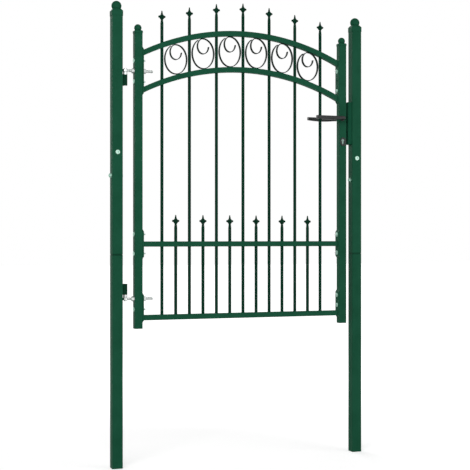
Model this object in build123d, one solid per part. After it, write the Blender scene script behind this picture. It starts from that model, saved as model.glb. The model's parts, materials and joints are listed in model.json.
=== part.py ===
from build123d import *
import math
import os

# Garden gate of welded square tube and round bar, hung between two posts.
# X runs from the hinge post to the lock post, Y from front to back, Z upwards.
# The origin is the centre of the hinge post's foot. All sizes are in millimetres.

# Posts: square tube in two sections, joined by a sleeve inside
POST_SIDE = 40.0
POST_WALL = 2.0
POST_CORNER = 2.5
POST_HEIGHT = 1711.0
POST_SEAM_HEIGHT = 800.0
POST_SEAM_GAP = 0.8
CLEAR_WIDTH = 950.0
SLEEVE_BELOW_SEAM = 250.0
SLEEVE_ABOVE_SEAM = 420.0
SLEEVE_WALL = 2.0
SLEEVE_CORNER = 1.0
SLIDING_GAP = 0.3
PLUG_DEPTH = 18.0
PLUG_WALL = 2.0

# Bolts across each post that hold the sleeve, one front to back and one side to side
FRONT_BOLT_RISE = 383.0
SIDE_BOLT_RISE = 296.0
POST_BOLT_DIAMETER = 8.0
POST_BOLT_HEAD = 17.0
POST_BOLT_HEAD_HEIGHT = 3.5
POST_BOLT_HEAD_EDGE = 1.2
POST_BOLT_SOCKET = 6.0
POST_BOLT_SOCKET_DEPTH = 2.0
POST_BOLT_WASHER = 17.0
POST_BOLT_WASHER_HEIGHT = 1.5
POST_BOLT_NUT_FLATS = 13.0
POST_BOLT_NUT_HEIGHT = 6.5
POST_BOLT_STUB = 2.0

# Ball caps: a square skirt over the tube, a low roof, a neck and a ball
CAP_WALL = 0.9
CAP_ROOF_GAP = 0.3
POST_CAP_SKIRT = 17.0
POST_CAP_ROOF = 7.6
POST_BALL_DIAMETER = 38.0
STILE_CAP_SKIRT = 7.0
STILE_CAP_ROOF = 3.0
STILE_BALL_DIAMETER = 28.0
BALL_NECK_SHARE = 0.8
BALL_NECK_HEIGHT = 0.6
BALL_NECK_SHOULDER = 0.4

# Leaf: two stiles of square tube
STILE_SIDE = 30.0
STILE_WALL = 2.0
STILE_CORNER = 2.0
STILE_BELOW_RAIL = 41.0
STILE_ABOVE_PLATE = 59.5
HINGE_SIDE_GAP = 48.0
LOCK_SIDE_GAP = 24.5

# Flat plates, bevelled at both ends, that carry the rails on the stiles
PLATE_THICKNESS = 5.0
PLATE_BEVEL = 8.0
UPPER_PLATE_MARGIN = 9.0
MIDDLE_PLATE_REACH = 55.0
LOWER_PLATE_BELOW = 17.0
LOWER_PLATE_ABOVE = 93.0

# Rails: square tube, two straight and two arched
RAIL_SIDE = 20.0
RAIL_WALL = 1.5
BOTTOM_RAIL_HEIGHT = 561.0
MIDDLE_RAIL_HEIGHT = 839.0
ARCH_RADIUS = 916.0
UPPER_ARCH_TOP = 1666.5
LOWER_ARCH_TOP = 1526.5

# Round bars
BAR_DIAMETER = 12.0
BAR_HOLE_GAP = 0.15
LONG_BAR_COUNT = 7
END_BAY = 74.5
LONG_SPEAR_RISE = 86.5
LONG_SPEAR_STEP = 20.0
SHORT_SPEAR_RISE = 88.0

# Cast spear points, measured from the middle of the four-armed knot
SPEAR_FOOT = 26.0
SPEAR_NECK_DIAMETER = 8.8
SPEAR_NECK_TOP = 11.0
SPEAR_HEART_DIAMETER = 18.0
KNOT_SPAN = 29.0
KNOT_DIAMETER = 11.0
KNOT_END_DIAMETER = 9.0
SPIKE_DIAMETER = 8.6
SPIKE_FOOT = 9.0
SPIKE_END_DIAMETER = 3.4
SPEAR_TIP = 23.0

# Scroll rings of flat strip, one in each bay between the arches
SCROLL_STRIP = 3.0
SCROLL_DEPTH = 12.0
SCROLL_SIDE_GAP = 3.7
SCROLL_SEAT_GAP = 0.3
SCROLL_START_ANGLE = 118.0
SCROLL_END_ANGLE = 357.0
TOP_ANGLE = 90.0
FULL_TURN = 360.0

# The eye of a scroll ring, beside the ring's own width and height
EYE_TO_RING_WIDTH = 0.53
EYE_TO_RING_HEIGHT = 0.52

# Hinges: a pin on a welded block, and an adjustable eye bolt through the stile
HINGE_PIN_OFFSET = 14.0
HINGE_PIN_DIAMETER = 10.0
HINGE_PIN_END = 4.0
LOWER_EYE_RISE = 72.0
HINGE_BLOCK_HEIGHT = 41.0
HINGE_BLOCK_DEPTH = 20.0
HINGE_BLOCK_WIDTH = 20.0
HINGE_BLOCK_EDGE = 1.2
EYE_HEIGHT = 10.0
EYE_DIAMETER = 22.0
EYE_BORE_GAP = 0.2
COLLAR_HEIGHT = 10.5
COLLAR_DIAMETER = 16.0
EYE_SEAT_GAP = 0.5
SHANK_DIAMETER = 10.0
SHANK_END = 38.0
SHANK_HOLE_GAP = 0.3
TURNED_EDGE = 1.0
NUT_ACROSS_FLATS = 17.0
NUT_HEIGHT = 8.0
WASHER_DIAMETER = 20.0
WASHER_HEIGHT = 2.0
THREAD_GAP = 0.1

# Lock in the stile, with a lever on each face and a profile cylinder
LEVER_HEIGHT = 1341.5
CYLINDER_DROP = 88.5
LOCK_BACKSET = 18.5
LOCK_CASE_HEIGHT = 190.0
LOCK_CASE_DEPTH = 23.0
LOCK_FACE_WIDTH = 20.0
LOCK_FACE_HEIGHT = 220.0
LATCH_HEAD = (12.0, 20.0)
BOLT_HEAD = (10.0, 32.0)
HEAD_GROOVE = 0.6
ROSE_DIAMETER = 21.0
ROSE_THICKNESS = 4.0
ROSE_RIM = 1.2
LEVER_REACH = 125.0
LEVER_STAND_OFF = 44.0
LEVER_DEPTH = 13.0
LEVER_CORNER = 4.0
LEVER_BEND = 13.0
LEVER_NECK_SECTION = 13.0
LEVER_BELLY_SECTION = 16.0
LEVER_TIP_SECTION = 12.5
LEVER_BOSS_DIAMETER = 15.0
LEVER_BOSS_LENGTH = 9.0
SPINDLE_SIDE = 8.0
SPINDLE_GAP = 0.3
CYLINDER_HEAD_DIAMETER = 10.5
CYLINDER_TAIL_WIDTH = 5.5
CYLINDER_TAIL_DROP = 12.5
CYLINDER_PROUD = 5.0
KEY_SLOT = (1.6, 6.0, 9.0)
ESCUTCHEON_WIDTH = 25.0
ESCUTCHEON_HEIGHT = 34.0
ESCUTCHEON_THICKNESS = 3.0

# Keeper: a box of flat steel on the lock post, with slots for the two bolts
KEEPER_GAP = 8.0
KEEPER_WIDTH = 30.0
KEEPER_BELOW_CYLINDER = 14.5
KEEPER_ABOVE_LEVER = 67.0
KEEPER_WALL = 3.0
KEEPER_SLOT_WIDTH = 14.0
LATCH_SLOT_HEIGHT = 32.0
BOLT_SLOT_HEIGHT = 40.0

# Places across the gate, worked out from the sizes above
HINGE_POST_FACE = POST_SIDE / 2
HINGE_PIN_X = HINGE_POST_FACE + HINGE_PIN_OFFSET
LOCK_POST_FACE = HINGE_POST_FACE + CLEAR_WIDTH
LOCK_POST_MIDDLE = LOCK_POST_FACE + POST_SIDE / 2
LEFT_STILE_MIDDLE = HINGE_POST_FACE + HINGE_SIDE_GAP + STILE_SIDE / 2
RIGHT_STILE_MIDDLE = LOCK_POST_FACE - LOCK_SIDE_GAP - STILE_SIDE / 2
RIGHT_STILE_FACE = RIGHT_STILE_MIDDLE + STILE_SIDE / 2
LEAF_MIDDLE = (LEFT_STILE_MIDDLE + RIGHT_STILE_MIDDLE) / 2
LEFT_PLATE_FACE = LEFT_STILE_MIDDLE + STILE_SIDE / 2 + PLATE_THICKNESS
RIGHT_PLATE_FACE = RIGHT_STILE_MIDDLE - STILE_SIDE / 2 - PLATE_THICKNESS
RAIL_LENGTH = RIGHT_PLATE_FACE - LEFT_PLATE_FACE
BAR_PITCH = (RAIL_LENGTH - 2 * END_BAY) / (LONG_BAR_COUNT - 1)
LOCK_AXIS = RIGHT_STILE_FACE - LOCK_BACKSET
STILE_FRONT = STILE_SIDE / 2


def arch_height(top, radius, from_middle):
    """Height of an arch's edge at a distance from the leaf's middle."""
    return top - ARCH_RADIUS + math.sqrt(radius**2 - from_middle**2)


# Heights worked out from the sizes above
UPPER_PLATE_FOOT = arch_height(LOWER_ARCH_TOP, ARCH_RADIUS - RAIL_SIDE, RAIL_LENGTH / 2) - UPPER_PLATE_MARGIN
UPPER_PLATE_TOP = arch_height(UPPER_ARCH_TOP, ARCH_RADIUS, RAIL_LENGTH / 2) + UPPER_PLATE_MARGIN
UPPER_PLATE = (UPPER_PLATE_FOOT, UPPER_PLATE_TOP)
MIDDLE_PLATE = (MIDDLE_RAIL_HEIGHT - MIDDLE_PLATE_REACH, MIDDLE_RAIL_HEIGHT + MIDDLE_PLATE_REACH)
LOWER_PLATE = (BOTTOM_RAIL_HEIGHT - LOWER_PLATE_BELOW, BOTTOM_RAIL_HEIGHT + LOWER_PLATE_ABOVE)
STILE_FOOT = BOTTOM_RAIL_HEIGHT - STILE_BELOW_RAIL
STILE_TOP = UPPER_PLATE_TOP + STILE_ABOVE_PLATE
UPPER_EYE_HEIGHT = (UPPER_PLATE_FOOT + UPPER_PLATE_TOP) / 2
LOWER_EYE_HEIGHT = BOTTOM_RAIL_HEIGHT + LOWER_EYE_RISE
BAR_FOOT = BOTTOM_RAIL_HEIGHT - RAIL_SIDE / 2 + RAIL_WALL
SHORT_SPEAR_HEIGHT = MIDDLE_RAIL_HEIGHT + SHORT_SPEAR_RISE
CYLINDER_HEIGHT = LEVER_HEIGHT - CYLINDER_DROP
LOCK_MIDDLE = (LEVER_HEIGHT + CYLINDER_HEIGHT) / 2
KEEPER_FOOT = CYLINDER_HEIGHT - KEEPER_BELOW_CYLINDER
KEEPER_TOP = LEVER_HEIGHT + KEEPER_ABOVE_LEVER

ON_FLOOR = (Align.CENTER, Align.CENTER, Align.MIN)


def square_tube(side, wall, corner, length):
    """Square tube standing on its end at the origin."""
    outside = RectangleRounded(side, side, corner)
    inside = Rectangle(side - 2 * wall, side - 2 * wall)
    return extrude(outside - inside, length)


def along_x(solid, x, y, z):
    """Solid drawn along Z, laid along X with its origin at a point."""
    return Pos(x, y, z) * (Rot(0, 90, 0) * solid)


def long_bar_places():
    """Middle of each long bar along the leaf, from the hinge side."""
    half = (LONG_BAR_COUNT - 1) / 2
    return [LEAF_MIDDLE + (i - half) * BAR_PITCH for i in range(LONG_BAR_COUNT)]


def bay_places():
    """Middle of each bay between two long bars."""
    return [x + BAR_PITCH / 2 for x in long_bar_places()[:-1]]


def long_spear_height(x):
    """Height of the knot on the long bar at x: the bars get shorter outwards."""
    steps = round(abs(x - LEAF_MIDDLE) / BAR_PITCH)
    return UPPER_ARCH_TOP + LONG_SPEAR_RISE - LONG_SPEAR_STEP * max(steps - 0.5, 0)


def cross_bolt():
    """Bolt across a post, lying along Z: socket head, shank, washer and nut in one."""
    half = POST_SIDE / 2
    head = Cylinder(POST_BOLT_HEAD / 2, POST_BOLT_HEAD_HEIGHT, align=ON_FLOOR)
    head = fillet(head.edges().sort_by(Axis.Z)[-1], POST_BOLT_HEAD_EDGE)
    socket = extrude(RegularPolygon(POST_BOLT_SOCKET / math.sqrt(3), 6), POST_BOLT_SOCKET_DEPTH)
    head = head - Pos(0, 0, POST_BOLT_HEAD_HEIGHT - POST_BOLT_SOCKET_DEPTH) * socket
    end = POST_BOLT_WASHER_HEIGHT + POST_BOLT_NUT_HEIGHT + POST_BOLT_STUB
    shank = Cylinder(POST_BOLT_DIAMETER / 2, POST_SIDE + end, align=ON_FLOOR)
    shank = chamfer(shank.edges().sort_by(Axis.Z)[-1], TURNED_EDGE)
    washer = Cylinder(POST_BOLT_WASHER / 2, POST_BOLT_WASHER_HEIGHT, align=ON_FLOOR)
    nut = extrude(RegularPolygon(POST_BOLT_NUT_FLATS / math.sqrt(3), 6), POST_BOLT_NUT_HEIGHT)
    tail = washer + Pos(0, 0, POST_BOLT_WASHER_HEIGHT) * nut
    return Pos(0, 0, -half) * (Rot(180, 0, 0) * head + shank) + Pos(0, 0, half) * tail


def front_bolt(x):
    """Bolt with its head on a post's front face."""
    return Pos(x, 0, POST_SEAM_HEIGHT + FRONT_BOLT_RISE) * (Rot(-90, 0, 0) * cross_bolt())


def side_bolt(x):
    """Bolt with its nut on the hinge side of a post."""
    return Pos(x, 0, POST_SEAM_HEIGHT + SIDE_BOLT_RISE) * (Rot(0, -90, 0) * cross_bolt())


def drill_for_bolts(tube, x):
    """Tube with the holes for a post's two cross bolts."""
    drill = Cylinder(POST_BOLT_DIAMETER / 2 + SHANK_HOLE_GAP, POST_SIDE)
    front = Pos(x, 0, POST_SEAM_HEIGHT + FRONT_BOLT_RISE) * (Rot(90, 0, 0) * drill)
    side = along_x(drill, x, 0, POST_SEAM_HEIGHT + SIDE_BOLT_RISE)
    return tube - front - side


def post_section(x, foot, top):
    """One length of post tube."""
    return Pos(x, 0, foot) * square_tube(POST_SIDE, POST_WALL, POST_CORNER, top - foot)


def post_sleeve(x):
    """Inner tube that holds the two sections of a post in line."""
    side = POST_SIDE - 2 * POST_WALL - 2 * SLIDING_GAP
    length = SLEEVE_BELOW_SEAM + SLEEVE_ABOVE_SEAM
    tube = square_tube(side, SLEEVE_WALL, SLEEVE_CORNER, length)
    return drill_for_bolts(Pos(x, 0, POST_SEAM_HEIGHT - SLEEVE_BELOW_SEAM) * tube, x)


def foot_plug(x, foot, side, wall):
    """Plug flush with the foot of a tube."""
    width = side - 2 * wall - 2 * SLIDING_GAP
    plug = Box(width, width, PLUG_DEPTH, align=ON_FLOOR)
    hollow = Box(width - 2 * PLUG_WALL, width - 2 * PLUG_WALL, PLUG_DEPTH, align=ON_FLOOR)
    return Pos(x, 0, foot) * (plug - Pos(0, 0, PLUG_WALL) * hollow)


def ball_on_neck(diameter):
    """Ball on a short neck, turned in one, with its foot at the origin."""
    radius = diameter / 2
    neck = radius * BALL_NECK_SHARE
    middle = BALL_NECK_HEIGHT + math.sqrt(radius**2 - neck**2)
    outline = [
        Line((0, 0), (neck, 0)),
        Line((neck, 0), (neck, BALL_NECK_HEIGHT)),
        ThreePointArc((neck, BALL_NECK_HEIGHT), (radius, middle), (0, middle + radius)),
        Line((0, middle + radius), (0, 0)),
    ]
    return revolve(Plane.XZ * make_face(Curve() + outline), Axis.Z)


def ball_cap(x, side, corner, tube_top, skirt, roof, ball_diameter):
    """Cap over a tube end: skirt, low roof, neck and ball in one casting."""
    inner = side + 2 * CAP_ROOF_GAP
    wide = inner + 2 * CAP_WALL
    round_corner = corner + CAP_ROOF_GAP + CAP_WALL
    square = RectangleRounded(wide, wide, round_corner)
    tube_room = RectangleRounded(inner, inner, corner + CAP_ROOF_GAP)
    wall = extrude(square - tube_room, skirt + CAP_ROOF_GAP)
    top = skirt + CAP_ROOF_GAP
    lid = Pos(0, 0, top) * extrude(square, CAP_WALL)
    seat = ball_diameter * BALL_NECK_SHARE + 2 * BALL_NECK_SHOULDER
    upper = RectangleRounded(seat, seat, round_corner)
    slope = loft([Pos(0, 0, top + CAP_WALL) * square.face(), Pos(0, 0, top + CAP_WALL + roof) * upper.face()])
    ball = Pos(0, 0, top + CAP_WALL + roof) * ball_on_neck(ball_diameter)
    return Pos(x, 0, tube_top - skirt) * (wall + lid + slope + ball)


def hinge_block(middle):
    """Steel block welded to the hinge post, with a bore for the pin."""
    block = Box(HINGE_BLOCK_DEPTH, HINGE_BLOCK_WIDTH, HINGE_BLOCK_HEIGHT)
    outer = block.edges().filter_by(Axis.Z).group_by(Axis.X)[-1]
    block = fillet(outer, HINGE_BLOCK_EDGE)
    bore = Cylinder(HINGE_PIN_DIAMETER / 2 + THREAD_GAP, HINGE_BLOCK_HEIGHT)
    from_block = HINGE_PIN_OFFSET - HINGE_BLOCK_DEPTH / 2
    block = block - Pos(from_block, 0, 0) * bore
    return Pos(HINGE_POST_FACE + HINGE_BLOCK_DEPTH / 2, 0, middle) * block


def hinge_pin(block_middle, eye_height):
    """Pin through the block, with a collar that carries or follows the eye."""
    direction = math.copysign(1, eye_height - block_middle)
    length = HINGE_BLOCK_HEIGHT + COLLAR_HEIGHT + EYE_SEAT_GAP + EYE_HEIGHT + HINGE_PIN_END
    pin = Cylinder(HINGE_PIN_DIAMETER / 2, length, align=ON_FLOOR)
    pin = chamfer(pin.edges().sort_by(Axis.Z)[-1], TURNED_EDGE)
    collar = Cylinder(COLLAR_DIAMETER / 2, COLLAR_HEIGHT, align=ON_FLOOR)
    pin = pin + Pos(0, 0, HINGE_BLOCK_HEIGHT) * collar
    if direction < 0:
        pin = Rot(180, 0, 0) * pin
    return Pos(HINGE_PIN_X, 0, block_middle - direction * HINGE_BLOCK_HEIGHT / 2) * pin


def block_middle_for(eye_height, direction):
    """Middle of the hinge block that stands below or above an eye."""
    reach = EYE_HEIGHT / 2 + EYE_SEAT_GAP + COLLAR_HEIGHT + HINGE_BLOCK_HEIGHT / 2
    return eye_height - direction * reach


def eye_bolt(height):
    """Eye with a round shank that runs through the stile and its plate."""
    shank = Cylinder(SHANK_DIAMETER / 2, LEFT_PLATE_FACE + SHANK_END - HINGE_PIN_X, align=ON_FLOOR)
    shank = chamfer(shank.edges().sort_by(Axis.Z)[-1], TURNED_EDGE)
    ring = Cylinder(EYE_DIAMETER / 2, EYE_HEIGHT)
    ring = chamfer(ring.edges().filter_by(GeomType.CIRCLE), TURNED_EDGE)
    bore = Cylinder(HINGE_PIN_DIAMETER / 2 + EYE_BORE_GAP, EYE_HEIGHT)
    eye = ring + Rot(0, 90, 0) * shank - bore
    return Pos(HINGE_PIN_X, 0, height) * eye


def nut_and_washer(face, direction, height):
    """Hexagon nut and washer on an eye bolt, tight against a face."""
    hole = Circle(SHANK_DIAMETER / 2 + THREAD_GAP)
    washer = extrude(Circle(WASHER_DIAMETER / 2) - hole, WASHER_HEIGHT)
    nut = extrude(RegularPolygon(NUT_ACROSS_FLATS / math.sqrt(3), 6) - hole, NUT_HEIGHT)
    stack = washer + Pos(0, 0, WASHER_HEIGHT) * nut
    return Pos(face, 0, height) * (Rot(0, 90 * direction, 0) * stack)


def hinge_nuts(height):
    """The two nuts that set how far the eye stands from the stile."""
    outer = nut_and_washer(LEFT_STILE_MIDDLE - STILE_SIDE / 2, -1, height)
    inner = nut_and_washer(LEFT_PLATE_FACE, 1, height)
    return [outer, inner]


def cylinder_profile(gap):
    """Outline of the profile cylinder, seen from the front."""
    head = Circle(CYLINDER_HEAD_DIAMETER / 2 + gap)
    tail_width = CYLINDER_TAIL_WIDTH + 2 * gap
    tail = Pos(0, -CYLINDER_TAIL_DROP / 2) * Rectangle(tail_width, CYLINDER_TAIL_DROP)
    foot = Pos(0, -CYLINDER_TAIL_DROP) * Circle(tail_width / 2)
    return head + tail + foot


def through_lock(sketch, height, length):
    """Sketch drawn as seen from the front, stretched through the lock's axis."""
    solid = extrude(sketch, length / 2, both=True)
    return Pos(LOCK_AXIS, 0, height) * (Rot(90, 0, 0) * solid)


def lock_bores():
    """Holes that the spindle and the cylinder need in the stile and the lock."""
    spindle = through_lock(Circle(SPINDLE_SIDE / math.sqrt(2) + SPINDLE_GAP), LEVER_HEIGHT, STILE_SIDE)
    cylinder = through_lock(cylinder_profile(SLIDING_GAP), CYLINDER_HEIGHT, STILE_SIDE)
    return [spindle, cylinder]


def left_stile():
    """Hinge stile, drilled for the two eye bolts."""
    tube = square_tube(STILE_SIDE, STILE_WALL, STILE_CORNER, STILE_TOP - STILE_FOOT)
    tube = Pos(LEFT_STILE_MIDDLE, 0, STILE_FOOT) * tube
    drill = Cylinder(SHANK_DIAMETER / 2 + SHANK_HOLE_GAP, STILE_SIDE)
    for height in (UPPER_EYE_HEIGHT, LOWER_EYE_HEIGHT):
        tube = tube - along_x(drill, LEFT_STILE_MIDDLE, 0, height)
    return tube


def right_stile():
    """Lock stile, cut out for the lock's face, the spindle and the cylinder."""
    tube = square_tube(STILE_SIDE, STILE_WALL, STILE_CORNER, STILE_TOP - STILE_FOOT)
    tube = Pos(RIGHT_STILE_MIDDLE, 0, STILE_FOOT) * tube
    mouth = Box(STILE_WALL, LOCK_FACE_WIDTH + 2 * SLIDING_GAP, LOCK_FACE_HEIGHT + 2 * SLIDING_GAP)
    tube = tube - Pos(RIGHT_STILE_FACE - STILE_WALL / 2, 0, LOCK_MIDDLE) * mouth
    return tube - lock_bores()


def rail_plate(span, stile_middle, direction):
    """Flat plate on the inner face of a stile, bevelled at both ends."""
    foot, top = span
    outline = Polyline(
        (0, foot),
        (PLATE_THICKNESS, foot + PLATE_BEVEL),
        (PLATE_THICKNESS, top - PLATE_BEVEL),
        (0, top),
        close=True,
    )
    plate = extrude(Plane.XZ * make_face(outline), STILE_SIDE / 2, both=True)
    if direction < 0:
        plate = mirror(plate, Plane.YZ)
    return Pos(stile_middle + direction * STILE_SIDE / 2, 0, 0) * plate


def drilled_plate(span, stile_middle, direction, height):
    """Plate with a hole for an eye bolt, open where the plate is used on the lock stile."""
    plate = rail_plate(span, stile_middle, direction)
    drill = Cylinder(SHANK_DIAMETER / 2 + SHANK_HOLE_GAP, STILE_SIDE + 2 * PLATE_THICKNESS)
    return plate - along_x(drill, stile_middle, 0, height)


def bar_hole(x, foot, top):
    """Round hole for a bar, from one height to another."""
    hole = Cylinder(BAR_DIAMETER / 2 + BAR_HOLE_GAP, top - foot, align=ON_FLOOR)
    return Pos(x, 0, foot) * hole


def straight_rail(middle_height):
    """Straight rail between the plates."""
    size = RAIL_SIDE - 2 * RAIL_WALL
    tube = Box(RAIL_LENGTH, RAIL_SIDE, RAIL_SIDE) - Box(RAIL_LENGTH, size, size)
    return Pos(LEAF_MIDDLE, 0, middle_height) * tube


def bottom_rail():
    """Bottom rail: the bars enter its top wall and stand on its bottom wall."""
    rail = straight_rail(BOTTOM_RAIL_HEIGHT)
    for x in long_bar_places() + bay_places():
        rail = rail - bar_hole(x, BAR_FOOT, BOTTOM_RAIL_HEIGHT + RAIL_SIDE)
    return rail


def middle_rail():
    """Middle rail: every bar passes through it."""
    rail = straight_rail(MIDDLE_RAIL_HEIGHT)
    for x in long_bar_places() + bay_places():
        rail = rail - bar_hole(x, MIDDLE_RAIL_HEIGHT - RAIL_SIDE, MIDDLE_RAIL_HEIGHT + RAIL_SIDE)
    return rail


def arch_slab(outer_radius, inner_radius, depth):
    """Piece of a flat ring about the leaf's middle, between the two plates."""
    ring = Circle(outer_radius) - Circle(inner_radius)
    slab = extrude(Plane.XZ * ring, depth / 2, both=True)
    window = Box(RAIL_LENGTH, depth, outer_radius, align=ON_FLOOR)
    return slab & window


def arch_rail(top):
    """Arched rail of bent square tube, with a hole for each long bar."""
    solid = arch_slab(ARCH_RADIUS, ARCH_RADIUS - RAIL_SIDE, RAIL_SIDE)
    inner_depth = RAIL_SIDE - 2 * RAIL_WALL
    hollow = arch_slab(ARCH_RADIUS - RAIL_WALL, ARCH_RADIUS - RAIL_SIDE + RAIL_WALL, inner_depth)
    rail = Pos(LEAF_MIDDLE, 0, top - ARCH_RADIUS) * (solid - hollow)
    for x in long_bar_places():
        middle = arch_height(top, ARCH_RADIUS - RAIL_SIDE / 2, x - LEAF_MIDDLE)
        rail = rail - bar_hole(x, middle - RAIL_SIDE, middle + RAIL_SIDE)
    return rail


def round_bar(x, spear_height):
    """Round bar from the bottom rail up to the foot of its spear point."""
    length = spear_height - SPEAR_FOOT - BAR_FOOT
    return Pos(x, 0, BAR_FOOT) * Cylinder(BAR_DIAMETER / 2, length, align=ON_FLOOR)


def knot_arm():
    """One pair of the knot's arms, lying along X, thickest in the middle and round at the ends."""
    end = KNOT_END_DIAMETER / 2
    half = KNOT_SPAN / 2
    on_end = end * math.sqrt(0.5)
    near = half - end
    outline = [
        Line((-half, 0), (half, 0)),
        ThreePointArc((half, 0), (near + on_end, on_end), (near, end)),
        Line((near, end), (0, KNOT_DIAMETER / 2)),
        Line((0, KNOT_DIAMETER / 2), (-near, end)),
        ThreePointArc((-near, end), (-near - on_end, on_end), (-half, 0)),
    ]
    return revolve(make_face(Curve() + outline), Axis.X)


def spear_point():
    """Cast spear point: short neck, heart with four arms, and spike."""
    neck = (SPEAR_NECK_DIAMETER / 2, -SPEAR_NECK_TOP)
    spike = (SPIKE_DIAMETER / 2, SPIKE_FOOT)
    shank = Polyline((0, SPEAR_TIP), (0, -SPEAR_FOOT), (BAR_DIAMETER / 2, -SPEAR_FOOT), neck)
    heart = ThreePointArc(neck, (SPEAR_HEART_DIAMETER / 2, 0), spike)
    point = Polyline(spike, (SPIKE_END_DIAMETER / 2, SPEAR_TIP), (0, SPEAR_TIP))
    stem = revolve(Plane.XZ * make_face(Curve() + [shank, heart, point]), Axis.Z)
    arm = knot_arm()
    return stem + arm + Rot(0, 0, 90) * arm


def scroll_ring(x):
    """Flat strip rolled into an oval with a smaller oval eye under its top."""
    from_middle = x - LEAF_MIDDLE
    upper = arch_height(UPPER_ARCH_TOP, ARCH_RADIUS - RAIL_SIDE, from_middle)
    lower = arch_height(LOWER_ARCH_TOP, ARCH_RADIUS, from_middle)
    slope = from_middle / (upper - UPPER_ARCH_TOP + ARCH_RADIUS)
    wide = BAR_PITCH / 2 - BAR_DIAMETER / 2 - SCROLL_SIDE_GAP
    seat = (upper - lower) / 2 - SCROLL_SEAT_GAP * math.sqrt(1 + slope**2)
    high = math.sqrt(seat**2 - (wide * slope) ** 2)
    eye_wide = wide * EYE_TO_RING_WIDTH
    eye_high = high * EYE_TO_RING_HEIGHT
    eye = (0, high - eye_high)
    thin = SCROLL_STRIP
    start = SCROLL_START_ANGLE
    loop = FULL_TURN + TOP_ANGLE - start
    curl = SCROLL_END_ANGLE - TOP_ANGLE
    outer = EllipticalCenterArc((0, 0), wide, high, start, arc_size=loop)
    inner = EllipticalCenterArc((0, 0), wide - thin, high - thin, start, arc_size=loop)
    eye_outer = EllipticalCenterArc(eye, eye_wide, eye_high, TOP_ANGLE, arc_size=curl)
    eye_inner = EllipticalCenterArc(eye, eye_wide - thin, eye_high - thin, TOP_ANGLE, arc_size=curl)
    first_end = Line(outer @ 0, inner @ 0)
    last_end = Line(eye_outer @ 1, eye_inner @ 1)
    strip = make_face(Curve() + [outer, eye_outer, last_end, eye_inner, inner, first_end])
    ring = extrude(Plane.XZ * strip, SCROLL_DEPTH / 2, both=True)
    return Pos(x, 0, (upper + lower) / 2) * ring


def bolt_head_groove(head, height):
    """Groove in the lock's face that frames the flush head of a bolt."""
    wide, high = head
    frame = Box(HEAD_GROOVE, wide + 2 * HEAD_GROOVE, high + 2 * HEAD_GROOVE) - Box(HEAD_GROOVE, wide, high)
    return Pos(RIGHT_STILE_FACE - HEAD_GROOVE / 2, 0, height) * frame


def lock_case():
    """Narrow lock case inside the stile, with its face plate in the mouth."""
    case = Box(LOCK_CASE_DEPTH, LOCK_FACE_WIDTH, LOCK_CASE_HEIGHT)
    case_x = RIGHT_STILE_FACE - STILE_WALL - LOCK_CASE_DEPTH / 2
    case = Pos(case_x, 0, LOCK_MIDDLE) * case
    face = Box(STILE_WALL, LOCK_FACE_WIDTH, LOCK_FACE_HEIGHT)
    face = Pos(RIGHT_STILE_FACE - STILE_WALL / 2, 0, LOCK_MIDDLE) * face
    grooves = [
        bolt_head_groove(LATCH_HEAD, LEVER_HEIGHT),
        bolt_head_groove(BOLT_HEAD, CYLINDER_HEIGHT + BOLT_SLOT_HEIGHT / 2),
    ]
    return case + face - lock_bores() - grooves


def lock_cylinder():
    """Profile cylinder through the stile, with a key slot in each end."""
    length = STILE_SIDE + 2 * CYLINDER_PROUD
    body = through_lock(cylinder_profile(0), CYLINDER_HEIGHT, length)
    wide, high, deep = KEY_SLOT
    slot = Box(wide, deep, high)
    for side in (-1, 1):
        body = body - Pos(LOCK_AXIS, side * (length - deep) / 2, CYLINDER_HEIGHT) * slot
    return body


def escutcheon(side):
    """Small oval plate round the cylinder, on one face of the stile."""
    oval = SlotOverall(ESCUTCHEON_HEIGHT, ESCUTCHEON_WIDTH, rotation=90)
    drop = (CYLINDER_TAIL_DROP + CYLINDER_TAIL_WIDTH / 2 - CYLINDER_HEAD_DIAMETER / 2) / 2
    aside = LOCK_AXIS - RIGHT_STILE_MIDDLE
    outline = oval - Pos(aside, drop) * cylinder_profile(SLIDING_GAP)
    plate = Rot(90, 0, 0) * extrude(outline, ESCUTCHEON_THICKNESS)
    if side > 0:
        plate = mirror(plate, Plane.XZ)
    return Pos(RIGHT_STILE_MIDDLE, side * STILE_FRONT, CYLINDER_HEIGHT - drop) * plate


def lever_rose(side):
    """Round rose under a lever, on one face of the stile."""
    disc = Cylinder(ROSE_DIAMETER / 2, ROSE_THICKNESS, align=ON_FLOOR)
    disc = fillet(disc.edges().sort_by(Axis.Z)[-1], ROSE_RIM)
    hole = Cylinder(LEVER_BOSS_DIAMETER / 2 + SLIDING_GAP, ROSE_THICKNESS, align=ON_FLOOR)
    rose = Rot(-90 * side, 0, 0) * (disc - hole)
    return Pos(LOCK_AXIS, side * STILE_FRONT, LEVER_HEIGHT) * rose


def lever_spindle():
    """Square spindle that joins the two levers through the lock."""
    bar = Box(SPINDLE_SIDE, 2 * (LEVER_STAND_OFF - LEVER_DEPTH), SPINDLE_SIDE)
    return Pos(LOCK_AXIS, 0, LEVER_HEIGHT) * bar


def lever_section(height, reach):
    """Cross-section of a lever's grip, with its top edge level with the neck's."""
    drop = (LEVER_NECK_SECTION - height) / 2
    section = RectangleRounded(LEVER_DEPTH, height, LEVER_CORNER)
    return Plane((-reach, -LEVER_STAND_OFF, drop), x_dir=(0, 1, 0), z_dir=(1, 0, 0)) * section


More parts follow.
